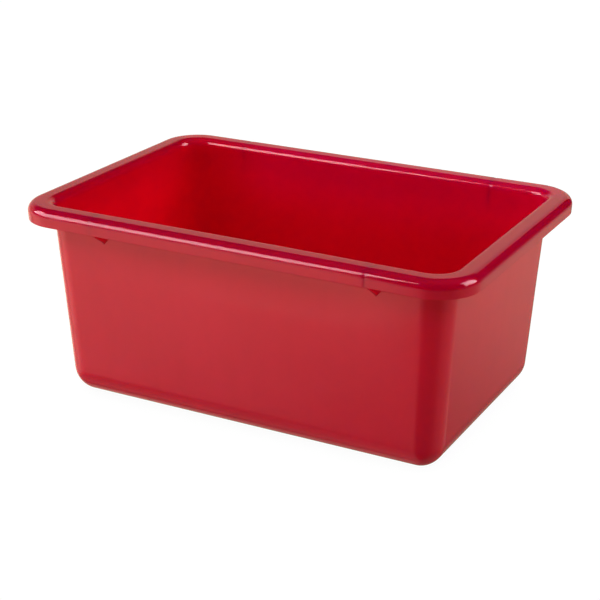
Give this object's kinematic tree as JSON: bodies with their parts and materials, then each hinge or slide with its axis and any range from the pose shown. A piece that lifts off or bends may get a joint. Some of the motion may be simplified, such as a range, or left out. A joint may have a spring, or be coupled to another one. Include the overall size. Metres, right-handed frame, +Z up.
{
  "type": "storage tub",
  "caption": "Open-top rectangular plastic storage tub with rounded corners, tapered walls and a rolled rim, for art supplies; rests on its base or hangs by its rim.",
  "frame": {"origin": "on the ground at the centre of the base", "axes": "+X along the long side, +Y along the short side, +Z up out of the open top"},
  "size_m": [0.4128, 0.2794, 0.1778],
  "materials": {
    "tub_plastic": "satin-gloss moulded polypropylene, opaque red"
  },
  "bodies": {
    "root": {"tub": "tub_plastic"}
  },
  "joints": []
}
